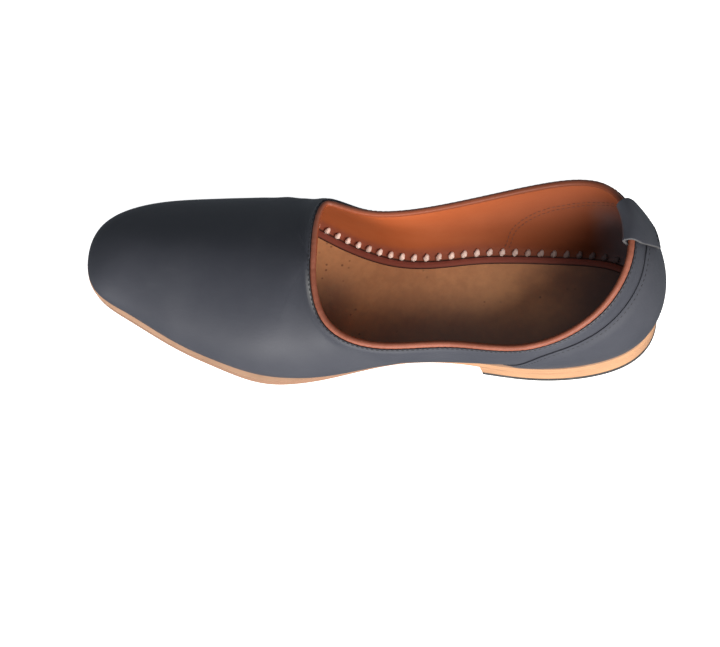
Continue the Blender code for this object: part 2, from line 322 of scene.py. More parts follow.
def blend(mask, first, second):
    """A colour that goes from the first to the second as the mask goes from 0 to 1."""
    return mask.node("Mix", {"data_type": "RGBA"}, {0: mask, 6: first, 7: second}, output=2)


def between(field, low, high):
    """A soft step from 0 where a field is low to 1 where it is high."""
    return field.node("MapRange", {"interpolation_type": "SMOOTHSTEP"},
                      {"Value": field, "From Min": low, "From Max": high})


def ranged(field, low, high):
    """A number that goes evenly from low to high as a field goes from 0 to 1."""
    return low + (high - low) * field


def mixed(first, second, share):
    """Two fields in one: a share of the second, and the rest of the first."""
    return first * (1 - share) + second * share


def bump(height, strength, depth):
    """A surface normal from a height field. Depth is in millimetres."""
    return height.node("Bump", None, {"Height": height, "Strength": strength, "Distance": depth * MM})


def towards_heel(place, span, clouds):
    """A cloudy mask that goes from 0 to 1 over a span along the shoe, towards the heel."""
    along = place.node("SeparateXYZ", None, {0: place})
    return between(along + clouds * CLOUD_REACH, *span)


def sole_leather(name):
    """Cut sole leather: tan, paler at the heel, with fibres and darker clouds, and a painted highlight on
    its upward faces.
    """
    material, place = new_finish(name)
    fibres = streaks(place, SOLE_FIBRES)
    clouds = noise(place, scale=45.0, detail=3.0)
    pores = noise(place, scale=1600.0)
    light = blend(towards_heel(place, SOLE_PALE_SPAN, clouds), TAN_FRONT, TAN)
    # Painted light: faces that look upward take a paler tan, as if lit from above.
    facing = place.node("NewGeometry", output="Normal")
    lit_top = between(place.node("SeparateXYZ", None, {0: facing}, output="Z"), low=0.4, high=0.9)
    light = blend(lit_top, light, TAN_PAINTED_LIT_TOP)
    dark = between(mixed(fibres, clouds, share=0.4), low=0.68, high=0.35)
    dark = dark * between(clouds, low=0.35, high=0.75) * SOLE_DARK_SHARE
    return apply_finish(
        material, Base_Color=blend(dark, light, TAN_DARK), Roughness=ranged(pores, low=0.5, high=0.75),
        Specular_IOR_Level=0.3, Normal=bump(mixed(fibres, pores, share=0.3), strength=0.35, depth=0.25))


sole_rows = row_steps(0, BACK_ROW)
sole_bottom = raised(seat_height, -SOLE_THICK)
outsole = join_grids("outsole_leather", slab(sole_rows, ledge(sole_rows), seat_height, sole_bottom),
                     sole_leather("tan sole leather"), "outsole")
round_edges(outsole, SOLE_ROUNDING)

# Heel lift
# A low block of the same tan leather, built from layers and nailed under the heel seat.
# Its sides run in a little towards the floor, and its front face is cut slightly hollow.
TOPPIECE_THICK = 2.4
HEEL_TAPER = 1.0
BREAST_ROW = 8.12
BREAST_HOLLOW = 4.0
HEEL_ROUNDING = 0.35


def level_at(height):
    """A height that is the same all along the shoe."""
    return lambda station: np.full_like(station, height)


heel_rows = np.append(BREAST_ROW, sole_rows[sole_rows > BREAST_ROW])
heel_lift = join_grids(
    "heel_lift_leather",
    slab(heel_rows, ledge(heel_rows), raised(sole_bottom, -GAP), level_at(TOPPIECE_THICK + GAP),
         HEEL_TAPER, BREAST_HOLLOW),
    sole_leather("tan heel leather"), "heel_lift")
round_edges(heel_lift, HEEL_ROUNDING)

# Heel top piece
# The thin sheet of black rubber that the heel walks on, glued and nailed under the lift.
# It is cut flush with the lift and leaves a dark line along the floor.
RUBBER = (0.018, 0.017, 0.017, 1.0)
RUBBER_DUSTY = (0.05, 0.047, 0.044, 1.0)


def heel_rubber():
    """Matt black rubber with a fine moulded grain and a little dust."""
    material, place = new_finish("black heel rubber")
    grain = noise(place, scale=1400.0, detail=3.0, rough=0.6)
    dust = between(noise(place, scale=120.0, detail=4.0, rough=0.6), low=0.5, high=0.8)
    return apply_finish(
        material, Base_Color=blend(dust, RUBBER, RUBBER_DUSTY),
        Roughness=ranged(dust, low=0.62, high=0.82), Normal=bump(grain, strength=0.3, depth=0.2))


heel_toppiece = join_grids(
    "heel_toppiece_rubber",
    slab(heel_rows, ledge(heel_rows) - HEEL_TAPER, level_at(TOPPIECE_THICK), level_at(0.0),
         hollow=BREAST_HOLLOW),
    heel_rubber(), "heel_toppiece")
round_edges(heel_toppiece, HEEL_ROUNDING)

# Upper
# Smooth black leather, cut in one piece over toe and sides, pulled over the last and turned in
# under the foot. Each column of the wall is a curve from the lower edge to the ridge of the vamp
# or to the edge of the collar.
WALL = 2.2
LEATHER_THICK = 1.0
MARGIN = 7.0
TUCK = 1.5
SWELL_SHARE = 0.42
AIM_ROWS = 1.5
THROAT_ROW = 5
WALL_LEVELS = 56
LEVEL_CROWDING = 0.06
EDGE_ROUND_SHARE = 0.04
EDGE_ROUND_STEPS = 6
RIDGE_BLEND = 0.8
STRETCH_PASSES = 110
STRETCH_START = 3.2
STRETCH_END = 7.2
STRETCH_HOLD = 0.22
STRETCH_LIMIT = 0.9
LIP_HEIGHT = 0.30
LIP_DOWN = 2.4
LIP_WIDTH = 1.4
SEAM_DIP = 0.15
SEAM_DIP_WIDTH = 0.8
FOLD_STEPS = 60
LINE_BATCH = 40
# Painted highlight beside the piping at the outer corner of the throat
HIGHLIGHT_FIRST_ROW = 5.28
HIGHLIGHT_LAST_ROW = 5.80
HIGHLIGHT_SHARE = 0.970
HIGHLIGHT_WIDTH = 0.9
HIGHLIGHT_LENGTH = 8.0
WEAR_STREAKS = (70.0, 260.0, 260.0)
WEAR_STREAK_SHARE = 0.25
WEAR_STREAK_ROUGHNESS = 0.06
BLACK = (0.0250, 0.0264, 0.0338, 1.0)
BLACK_WORN = (0.0350, 0.0364, 0.0438, 1.0)
PAINTED_HIGHLIGHT = (0.150, 0.150, 0.148, 1.0)

# Ridge of the vamp, a row for each section from toe to throat
RIDGE = np.array([
    # station, side, height
    (263.0, -10.0, 29.3),
    (259.5, -9.6, 30.2),
    (250.0, -8.2, 32.6),
    (226.5, -5.0, 38.5),
    (194.0, -1.5, 46.0),
    (162.5, 3.0, 54.0),
])

# Edge of the collar behind the throat, a row for each section to the back of the heel
COLLAR = np.array([
    # outer station, side, height, inner station, side, height
    (152.5, 33.0, 47.0, 161.5, -27.5, 53.0),
    (125.0, 42.8, 43.5, 137.5, -27.0, 47.5),
    (90.0, 40.3, 46.0, 93.5, -34.0, 50.2),
    (54.0, 42.3, 54.5, 56.0, -40.8, 58.0),
    (21.5, 27.6, 65.5, 22.0, -34.8, 71.0),
    (7.8, -3.5, 74.5, 7.8, -3.5, 74.5),
])
SHAPE_RING = around(FEATHER[:, 4:7], FEATHER[:, 4:7])
COLLAR_RING = np.concatenate([RIDGE[-1:], COLLAR[:, :3], COLLAR[-2::-1, 3:]])

# Upper edge of the heel counter on each side, which the leather dips along
OUTER_SEAM = np.array([
    # row, share of the wall's height
    (8.5, 0.06),
    (8.75, 0.38),
    (9.0, 0.72),
    (9.25, 0.84),
    (10.0, 0.84),
    (11.0, 0.88),
])
INNER_SEAM = np.array([
    # row, share of the wall's height
    (8.25, 0.06),
    (8.5, 0.38),
    (8.75, 0.54),
    (9.0, 0.63),
    (9.5, 0.70),
    (10.0, 0.76),
    (11.0, 0.88),
])
SEAM_TABLES = {True: OUTER_SEAM, False: INNER_SEAM}
SEAM_SOFTNESS = 0.16
SEAM_READINGS = 15

# Soft folds pressed into the leather, each along a line between two places on one side
FOLDS = [
    # on outer side, start row, start share, end row, end share, width, lift
    (False, 4.15, 0.24, 4.95, 0.24, 9.0, -0.35),
    (False, 5.25, 0.27, 5.55, 0.42, 7.0, 0.35),
    (False, 4.35, 0.35, 4.10, 0.75, 6.0, -0.22),
    (True, 7.60, 0.25, 6.60, 0.60, 8.0, -0.35),
    (True, 6.90, 0.20, 6.10, 0.40, 7.0, 0.30),
    (False, 7.40, 0.25, 6.50, 0.55, 7.0, -0.30),
    (False, 5.15, 0.27, 5.50, 0.36, 6.0, 0.80),
]


def tops(rows, outer):
    """Where each column of the wall ends: on the vamp's ridge, or on the collar's edge."""
    front = rows <= THROAT_ROW
    last = np.clip(rows - (THROAT_ROW - 1), 0, 1)
    on_ridge = np.minimum(rows, THROAT_ROW - 1) + last + last ** 2 - last ** 3
    first = np.clip(rows - THROAT_ROW, 0, 1)
    on_collar = np.where(rows < THROAT_ROW + 1, 2 * first ** 2 - first ** 3, rows - THROAT_ROW)
    sections = BACK_ROW - THROAT_ROW
    place = on_collar if outer else (2 * sections - on_collar) % (2 * sections)
    points = np.where(front[:, None], cubic(RIDGE, on_ridge), cubic(COLLAR_RING, place, True))
    middle = np.clip(on_ridge, STEP, THROAT_ROW - STEP)
    along = cubic(RIDGE, middle + STEP) - cubic(RIDGE, middle - STEP)
    slope = along[:, 2] / along[:, 0] * np.clip(THROAT_ROW + 1 - rows, 0, 1)
    return points, slope


def on_seat(plan, above=0.0):
    """Points over a plan line, at a height above the place where the upper sits on the sole."""
    return np.column_stack([plan, seat_height(plan[:, 0]) + GAP + above])


def wall(rows, outer, shares):
    """Outer face of the upper: a curved column from the lower edge at each row, read at shares."""
    plan, normal = edge(rows, outer)
    swell, crown, drop = cubic(SHAPE_RING, ring_place(rows, outer), True).T[:, :, None]
    head, slope = tops(rows, outer)
    up = np.array([0.0, 0.0, 1.0])
    out = np.column_stack([normal, np.zeros(len(rows))])
    foot = on_seat(plan)
    rise = (head[:, 2] - foot[:, 2])[:, None]
    lower = foot + out * swell + up * SWELL_SHARE * rise
    inward = unit(plan - head[:, :2])
    turn = soft((THROAT_ROW + AIM_ROWS - rows) / AIM_ROWS)[:, None]
    aim = unit(inward * turn + normal * (1 - turn))
    reach = np.column_stack([aim, np.zeros(len(rows))]) * crown
    upper = head + reach - up * np.maximum(drop, 0)
    upper[:, 2] += slope * reach[:, 0]
    share = np.asarray(shares)
    if share.ndim == 1:
        share = np.tile(share, (len(rows), 1))
    v = share[:, :, None]
    return (foot[:, None] * (1 - v) ** 3 + 3 * lower[:, None] * v * (1 - v) ** 2
            + 3 * upper[:, None] * v ** 2 * (1 - v) + head[:, None] * v ** 3)


def face_normals(rows, outer, shares):
    """Outward normals of the outer face, from small steps along and up the wall."""
    share = np.clip(np.asarray(shares), STEP, 1 - STEP)
    along = wall(rows + STEP, outer, share) - wall(rows - STEP, outer, share)
    up = wall(rows, outer, share + STEP) - wall(rows, outer, share - STEP)
    return unit(np.cross(along, up)) * (1 if outer else -1)


def along_wall(rows, shares, outer):
    """A line on the outer face: one point for each row and its share."""
    return wall(rows, outer, np.asarray(shares)[:, None])[:, 0]


def softened(rows, table, softness):
    """A table of rows and shares read at any rows, its corners rounded off."""
    place, share = table.T
    reach = np.clip(BACK_ROW - rows, 0, softness)
    return np.mean([np.interp(rows + reach * side, place, share)
                    for side in np.linspace(-1, 1, SEAM_READINGS)], axis=0)


def seam_share(rows, outer):
    """Share of the wall's height at which the counter's edge lies."""
    return softened(rows, SEAM_TABLES[outer], SEAM_SOFTNESS)


def distance(points, line):
    """Distance of each point of a grid from the nearest point of a finely stepped line."""
    flat = points.reshape(-1, 3)
    nearest = np.full(len(flat), np.inf)
    for part in np.array_split(line, max(1, len(line) // LINE_BATCH)):
        gap = np.linalg.norm(flat[:, None] - part[None], axis=2).min(1)
        nearest = np.minimum(nearest, gap)
    return nearest.reshape(points.shape[:-1])


def trough(gap, width):
    """1 on a line, falling to 0 over a width."""
    return np.exp(-(gap / width) ** 2)


def collar_line():
    """The collar's edge all round, stepped finely."""
    rows = row_steps(THROAT_ROW, BACK_ROW)
    return np.concatenate([tops(rows, True)[0], tops(rows, False)[0]])


def leather_relief(points, outer):
    """How far the leather stands out: a soft lip at the collar, a dip at the counter, folds."""
    relief = LIP_HEIGHT * trough(distance(points, collar_line()) - LIP_DOWN, LIP_WIDTH)
    rows = row_steps(SEAM_TABLES[outer][0, 0], BACK_ROW)
    counter_edge = along_wall(rows, seam_share(rows, outer), outer)
    relief -= SEAM_DIP * trough(distance(points, counter_edge), SEAM_DIP_WIDTH)
    step = np.linspace(0, 1, FOLD_STEPS)
    for on_outer, row, share, end_row, end_share, width, lift in FOLDS:
        line = along_wall(row + (end_row - row) * step, share + (end_share - share) * step, on_outer)
        relief += lift * trough(distance(points, line), width)
    return relief


def cells(place, scale):
    """A field of small round cells, 0 in their middles. Scale is in cells to the metre."""
    return place.node("TexVoronoi", None, {"Vector": place, "Scale": scale})


def painted(place, label):
    """A mask that is kept on the points of the piece under a label."""
    return place.node("Attribute", {"attribute_name": label}, output=2)


def black_leather(name, wear_and_shade=0.5):
    """Satin black leather: a fine pebbled grain, soft clouds of wear, faint streaks of wear and a painted
    highlight where its mask is set.
    """
    material, place = new_finish(name)
    grain = cells(place, scale=1150.0)
    pores = noise(place, scale=2600.0)
    clouds = noise(place, scale=38.0, detail=3.0, rough=0.55)
    rubs = between(streaks(place, WEAR_STREAKS), low=0.55, high=0.85)
    wear = between(clouds, low=0.35, high=0.75) * wear_and_shade + rubs * WEAR_STREAK_SHARE
    # Painted highlight: where its mask is set, the colour goes pale grey.
    return apply_finish(
        material, Base_Color=blend(painted(place, "painted_highlight"), blend(wear, BLACK, BLACK_WORN), PAINTED_HIGHLIGHT),
        Roughness=ranged(clouds, low=0.46, high=0.56) + rubs * WEAR_STREAK_ROUGHNESS,
        Specular_IOR_Level=0.30, Normal=bump(mixed(grain, pores, share=0.4), strength=0.16, depth=0.22))


def relief_normals(rows, outer, shares):
    """Normals that the relief follows: along the vamp's ridge both sides share one."""
    normal = face_normals(rows, outer, shares)
    shared = unit(face_normals(rows, True, [1.0]) + face_normals(rows, False, [1.0]))
    near = soft((shares - RIDGE_BLEND) / (1 - RIDGE_BLEND)) * (rows <= THROAT_ROW)[:, None]
    return unit(normal + (shared - normal) * near[:, :, None])


def stretch_relief(face, normal, rows, shares):
    """How far the stretched leather at the throat lies off the face, where it spans it evenly."""
    even = face.copy()
    for _ in range(STRETCH_PASSES):
        even[1:-1] += (even[:-2] + even[2:] - 2 * even[1:-1]) / 4
    lift = ((even - face) * normal).sum(2)
    held = soft(shares / STRETCH_HOLD) * soft((1 - shares) / STRETCH_HOLD)
    span = soft(rows - STRETCH_START) * soft(STRETCH_END - rows)
    return STRETCH_LIMIT * np.tanh(lift / STRETCH_LIMIT) * span[:, None] * held


def round_corner(start, knee, end, steps):
    """Points of a round corner from one line to another, between them and pulled to a third."""
    turn = np.linspace(0, 1, steps)[None, 1:-1, None]
    return (start[:, None] * (1 - turn) ** 2 + 2 * knee[:, None] * turn * (1 - turn)
            + end[:, None] * turn ** 2)


def outer_grid(outer):
    """The leather's outer face on one side: turned-in margin, round lower edge and wall."""
    rows = row_steps(0, BACK_ROW)
    even = np.linspace(0, 1, WALL_LEVELS)
    shares = even - LEVEL_CROWDING * np.sin(2 * np.pi * even)
    face = wall(rows, outer, shares)
    normal = relief_normals(rows, outer, shares)
    relief = leather_relief(face, outer) + stretch_relief(face, normal, rows, shares)
    face += normal * relief[:, :, None]
    corner, outward = edge(rows, outer)
    under = [on_seat(corner - outward * inset) for inset in (MARGIN, (MARGIN + TUCK) / 2, TUCK)]
    first = int(np.searchsorted(shares, EDGE_ROUND_SHARE))
    lower_edge = round_corner(under[-1], on_seat(corner), face[:, first], EDGE_ROUND_STEPS)
    return np.concatenate([np.stack(under, 1), lower_edge, face[:, first:]], 1)


def painted_highlight_streak(grid):
    """Painted highlight: a pale streak beside the piping at the outer corner of the throat, where the
    leather's lip catches the light.
    """
    rows = row_steps(HIGHLIGHT_FIRST_ROW, HIGHLIGHT_LAST_ROW)
    line = along_wall(rows, np.full(len(rows), HIGHLIGHT_SHARE), True)
    middle = line[len(line) // 2][None]
    return trough(distance(grid, line), HIGHLIGHT_WIDTH) * trough(distance(grid, middle), HIGHLIGHT_LENGTH)


def thicken(piece, thickness, outward=False):
    """Give a sheet its real thickness, on the side that its faces look to or behind them."""
    solid = piece.modifiers.new("thickness", "SOLIDIFY")
    solid.thickness = thickness * MM
    solid.offset = 1.0 if outward else -1.0
    return solid


upper_sides = [outer_grid(True), outer_grid(False)]
upper = join_grids("upper_leather", [(upper_sides[0], False), (upper_sides[1], True)],
                   black_leather("black upper leather"), "upper",
                   masks={"painted_highlight": [painted_highlight_streak(side) for side in upper_sides]})
thicken(upper, LEATHER_THICK)

# Lining
# Orange-brown leather, pasted to the inside of the upper and turned in with it under the foot.
# The turned-in strip shows round the insole, between two grooves. Shade is painted on the lining:
# red-brown on the strip and the wall's foot, near black in the grooves, darker and greyer at the heel.
LINING_THICK = 0.8
LINING_FOOT = 0.075
LINING_ROUND_STEPS = 10
STRIP_STEPS = 13
STRIP_INSET = 3.8
STRIP_REACH = 7.8
STRIP_CROWN = 0.45
GROOVE_DEPTH = 0.3
GROOVE_WIDTH = 0.8
FOOT_SHADE_HEIGHTS = (1.0, 7.0)
FOOT_SHADE_SHARE = 0.75
SHADED_SPAN = (0.030, -0.100)
SHADE_GREY_SPAN = (-0.095, -0.115)
SHADE_GREY_HEIGHTS = (8.0, 42.0)
LINING_STREAKS = (40.0, 40.0, 220.0)
ORANGE = (0.350, 0.078, 0.022, 1.0)
ORANGE_PALE = (0.380, 0.098, 0.033, 1.0)
ORANGE_SHADED = (0.165, 0.040, 0.014, 1.0)
SHADED_RED_BROWN = (0.225, 0.062, 0.042, 1.0)
GROOVE_SHADE = (0.050, 0.020, 0.014, 1.0)
HEEL_SHADE_GREY = (0.190, 0.140, 0.140, 1.0)
CUT_EDGE = (0.034, 0.033, 0.034, 1.0)


def inner_face(rows, outer, shares):
    """The wall's inner face, one thickness of the wall inside the outer face."""
    return wall(rows, outer, shares) - face_normals(rows, outer, shares) * WALL


def lining_grid(outer):
    """The lining's visible face on one side, with masks of its strip, grooves and height."""
    rows = row_steps(0, BACK_ROW)
    shares = LINING_FOOT + (1 - LINING_FOOT) * np.linspace(0, 1, WALL_LEVELS)
    face = inner_face(rows, outer, shares)
    corner, normal = edge(rows, outer)
    strip = []
    for share in np.linspace(0, 1, STRIP_STEPS):
        plan = corner - normal * (STRIP_REACH + (STRIP_INSET - STRIP_REACH) * share)
        crown = STRIP_CROWN * np.sin(np.pi * share) - GROOVE_DEPTH * (share == 1)
        strip.append(on_seat(plan, WALL + crown))
    knee = on_seat(corner - normal * WALL, WALL)
    foot = round_corner(strip[-1], knee, face[:, 0], LINING_ROUND_STEPS)
    grid = np.concatenate([np.stack(strip, 1), foot, face], 1)
    on_strip = np.zeros(grid.shape[:2])
    on_strip[:, :STRIP_STEPS] = 1
    grooves = [trough(distance(grid, line), GROOVE_WIDTH) for line in (strip[0], strip[-1])]
    height = np.clip(grid[:, :, 2] - seat_height(grid[:, :, 0]) - GAP - WALL, 0, None)
    return grid, {"strip": on_strip, "groove": np.maximum(*grooves), "height": height}


def lining_leather():
    """Soft orange-brown lining; painted shade makes it red-brown at the foot and on the strip, near black
    in the grooves and darker at the heel.
    """
    material, place = new_finish("orange lining leather")
    height = painted(place, "height")
    clouds = noise(place, scale=30.0, detail=3.0, rough=0.55)
    drawn = streaks(place, LINING_STREAKS)
    grain = cells(place, scale=900.0)
    colour = blend(between(mixed(clouds, drawn, share=0.4), low=0.3, high=0.7), ORANGE, ORANGE_PALE)
    # Painted shade: the foot of the wall takes a darker red-brown, as in the recess above the insole.
    foot_shade = (1 - between(height, *FOOT_SHADE_HEIGHTS)) * FOOT_SHADE_SHARE
    colour = blend(foot_shade, colour, SHADED_RED_BROWN)
    # Painted shade: the lining darkens towards the heel, where the heel's walls shade it.
    colour = blend(towards_heel(place, SHADED_SPAN, clouds), colour, ORANGE_SHADED)
    # Painted shade: low in the heel the lining turns a greyer dark, the colour of its shadow there.
    shade_greyed = towards_heel(place, SHADE_GREY_SPAN, clouds) * (1 - between(height, *SHADE_GREY_HEIGHTS))
    colour = blend(shade_greyed, colour, HEEL_SHADE_GREY)
    # Painted shade: the turned-in strip takes the same darker red-brown.
    colour = blend(painted(place, "strip"), colour, SHADED_RED_BROWN)
    # Painted shade: the grooves are near black.
    colour = blend(between(painted(place, "groove"), low=0.25, high=0.95), colour, GROOVE_SHADE)
    return apply_finish(
        material, Base_Color=colour, Roughness=ranged(clouds, low=0.52, high=0.68),
        Specular_IOR_Level=0.2, Normal=bump(mixed(grain, drawn, share=0.4), strength=0.2, depth=0.2))


def cut_leather():
    """Cut leather, dyed dark: the edges of lining and tab, and the lining's pasted back."""
    material, place = new_finish("cut leather edge")
    rough = ranged(noise(place, scale=900.0), low=0.7, high=0.9)
    return apply_finish(material, Base_Color=CUT_EDGE, Roughness=rough)


lining_sides = [lining_grid(True), lining_grid(False)]
lining = join_grids(
    "upper_lining", [(lining_sides[0][0], True), (lining_sides[1][0], False)], lining_leather(),
    masks={label: [masks[label] for _, masks in lining_sides] for label in ("strip", "groove", "height")})
cut_edge = cut_leather()
lining.data.materials.append(cut_edge)
lining_back = thicken(lining, LINING_THICK)
lining_back.material_offset = 1
lining_back.material_offset_rim = 1

# Hand stitches
# Thick white cotton, sewn by hand through lining, margin and sole round the foot.
# Each stitch is a short slanted lump at the foot of the lining. Deep inside the toe there are none.
STITCH_FIRST_ROW = 3.7
STITCH_PITCH = 6.25
STITCH_LENGTH = 2.4
STITCH_RADIUS = 1.35
STITCH_SLANT = 0.45
STITCH_SWAY = 0.12
STITCH_SEED = 7
STITCH_SHARE = 0.034
STITCH_INSET = 0.9
STITCH_LIFT = 0.5
THREAD_POINTS = 9
THREAD_SIDES = 10
THREAD_TAPER = 0.75
PLIES = 2
PLY_TWIST = 5
PLY_RELIEF = 0.12
STITCH_SHADED_SPAN = (-0.025, -0.110)
STITCH_SHADED_SHARE = 0.93
STITCH_SOILED_SHARE = 0.6
COTTON = (0.80, 0.60, 0.52, 1.0)
COTTON_SOILED = (0.40, 0.22, 0.16, 1.0)
COTTON_SHADED = (0.090, 0.060, 0.058, 1.0)


def run_along(line):
    """How far along a finely stepped line each of its points lies."""
    return np.append(0, np.cumsum(np.linalg.norm(np.diff(line, axis=0), axis=1)))


def stitch_rows(outer):
    """Rows of the hand stitches on one side, at an even pitch along the wall."""
    rows = row_steps(STITCH_FIRST_ROW, BACK_ROW)
    run = run_along(along_wall(rows, np.full(len(rows), STITCH_SHARE), outer))
    return np.interp(np.arange(STITCH_PITCH / 2, run[-1], STITCH_PITCH), run, rows)


def sew(name, parts, length, radius, lift, finish):
    """Many short threads in one mesh: each rises from the leather, arches over and goes back in.

    Each part holds the middles of its stitches, the ways they run and the leather's normals.
    """
    middles, ways, normals = (np.concatenate(values)[:, None] for values in zip(*parts))
    steps = np.linspace(-1, 1, THREAD_POINTS)
    arch = (1 - steps ** 2) * lift - radius * steps ** 4
    line = middles + ways * (steps * length / 2)[:, None] + normals * arch[:, None]
    tangent = unit(np.gradient(line, axis=1))
    side = unit(np.cross(tangent, normals))
    over = np.cross(side, tangent)
    turns = np.arange(THREAD_SIDES) * 2 * np.pi / THREAD_SIDES
    plies = 1 + PLY_RELIEF * np.cos(PLIES * turns[None] - PLY_TWIST * steps[:, None])
    girth = (radius * np.sqrt(1 - THREAD_TAPER * steps ** 4))[:, None] * plies
    ring = side[:, :, None] * np.cos(turns)[:, None] + over[:, :, None] * np.sin(turns)[:, None]
    points = line[:, :, None] + ring * girth[:, :, None]
    index = np.arange(points[..., 0].size).reshape(points.shape[:3])
    low, high = index[:, :-1], index[:, 1:]
    quads = np.stack([low, np.roll(low, -1, 2), np.roll(high, -1, 2), high], -1)
    faces = quads.reshape(-1, 4).tolist() + index[:, 0, ::-1].tolist() + index[:, -1].tolist()
    piece = add_piece(name, points.reshape(-1, 3), faces, finish)
    piece.data.shade_smooth()


def cotton_thread():
    """Soft off-white cotton, soiled here and there by the leather's dye, and darker towards the heel as
    painted shade.
    """
    material, place = new_finish("white cotton thread")
    soil = between(noise(place, scale=130.0, detail=3.0), low=0.42, high=0.70)
    fibres = noise(place, scale=2200.0)
    colour = blend(soil * STITCH_SOILED_SHARE, COTTON, COTTON_SOILED)
    # Painted shade: the stitches darken towards the heel, where the heel's walls shade them.
    wear_and_shade = towards_heel(place, STITCH_SHADED_SPAN, fibres)
    colour = blend(wear_and_shade * STITCH_SHADED_SHARE, colour, COTTON_SHADED)
    return apply_finish(material, Base_Color=colour, Roughness=0.85,
                        Normal=bump(fibres, strength=0.4, depth=0.2))


stitch_parts = []
for outer in (True, False):
    rows = stitch_rows(outer)
    shares = np.full((len(rows), 1), STITCH_SHARE)
    point, ahead, behind = (inner_face(rows + step, outer, shares)[:, 0] for step in (0, STEP, -STEP))
    along = unit(ahead - behind)
    inward = -face_normals(rows, outer, shares)[:, 0]
    side = 1 if outer else -1
    sway = np.random.default_rng(STITCH_SEED).normal(0, STITCH_SWAY, len(rows))
    way = unit(np.cross(inward, along) * side + along * (STITCH_SLANT * side + sway)[:, None])
    stitch_parts.append((point + inward * STITCH_INSET, way, inward))
sew("hand_stitches", stitch_parts, STITCH_LENGTH, STITCH_RADIUS, STITCH_LIFT, cotton_thread())

# Lining seam
# Two rows of machine stitches that hold the stiff heel piece behind the lining.
# They start at the foot of the wall, curve up and run back under the collar.
SEAM_PITCH = 2.6
SEAM_STITCH = 1.9
SEAM_RADIUS = 0.2
SEAM_LIFT = 0.06
SEAM_ROWS_APART = 2.0
SEAM_POINTS = 400
LINING_SEAM_SOFTNESS = 0.05
BROWN_THREAD = (0.070, 0.026, 0.016, 1.0)
BROWN_THREAD_LIT = (0.130, 0.050, 0.032, 1.0)

# The seam on the inner side, which stands upright at its foot
INNER_LINING_SEAM = np.array([
    # row, share of the wall's height
    (8.30, 0.05),
    (8.37, 0.23),
    (8.45, 0.36),
    (8.63, 0.50),
    (8.81, 0.59),
    (9.03, 0.65),
    (9.37, 0.68),
    (9.71, 0.70),
    (10.2, 0.77),
    (11.0, 0.88),
])
LINING_SEAMS = {True: OUTER_SEAM, False: INNER_LINING_SEAM}


def read_along(at, run, values):
    """Points or ways that go with a line, read at places along its run."""
    return np.column_stack([np.interp(at, run, part) for part in values.T])


def sew_line(line, normal, pitch):
    """Middles, ways and normals of stitches at an even pitch along a finely stepped line."""
    run = run_along(line)
    at = np.arange(pitch / 2, run[-1], pitch)
    way = unit(read_along(at + pitch / 4, run, line) - read_along(at - pitch / 4, run, line))
    turned = read_along(at, run, normal)
    return read_along(at, run, line), way, unit(turned - way * (turned * way).sum(1)[:, None])


def moved_beside(line, normal, gap):
    """A line on the leather, moved sideways over it by a gap."""
    return line + unit(np.cross(np.gradient(line, axis=0), normal)) * gap


def waxed_thread(name, dark, lit):
    """Waxed thread of one dye, pulled tight, with a painted sheen in small spots of a lighter tone."""
    material, place = new_finish(name)
    shine = noise(place, scale=900.0)
    # Painted sheen: the lit tone is mixed in by a fine field.
    return apply_finish(material, Base_Color=blend(shine, dark, lit),
                        Roughness=ranged(shine, low=0.55, high=0.75), Specular_IOR_Level=0.3)


seam_parts = []
for outer in (True, False):
    rows = np.linspace(LINING_SEAMS[outer][0, 0], BACK_ROW, SEAM_POINTS)
    shares = softened(rows, LINING_SEAMS[outer], LINING_SEAM_SOFTNESS)[:, None]
    line = inner_face(rows, outer, shares)[:, 0]
    inward = -face_normals(rows, outer, shares)[:, 0]
    for gap in (0.0, SEAM_ROWS_APART * (-1 if outer else 1)):
        seam_parts.append(sew_line(moved_beside(line, inward, gap), inward, SEAM_PITCH))
sew("lining_seam_stitches", seam_parts, SEAM_STITCH, SEAM_RADIUS, SEAM_LIFT,
    waxed_thread("brown seam thread", BROWN_THREAD, BROWN_THREAD_LIT))

# Insole
# A firm olive-brown leather sock, cut to lie inside the turned-in strip and pasted down.
# It has small dark specks, and painted shade darkens it under the heel, along the outer side of the foot
# and under the throat.
INSOLE_THICK = 2.5
INSOLE_CLEAR = 1.0
INSOLE_ROUNDING = 0.7
HEEL_SHADE_SPAN = (-0.062, -0.115)
HEEL_SHADE_SHARE = 0.92
EDGE_SHADE_WIDTH = 17.0
THROAT_SHADE_WIDTH = 13.0
THROAT_SHADE = 0.75
INSOLE_SHADE_SHARE = 0.7
SPECK_SHARE = 0.8
OLIVE = (0.515, 0.245, 0.108, 1.0)
OLIVE_DARK = (0.395, 0.180, 0.080, 1.0)
INSOLE_SHADE_COLOUR = (0.075, 0.052, 0.050, 1.0)
SPECK = (0.110, 0.050, 0.028, 1.0)


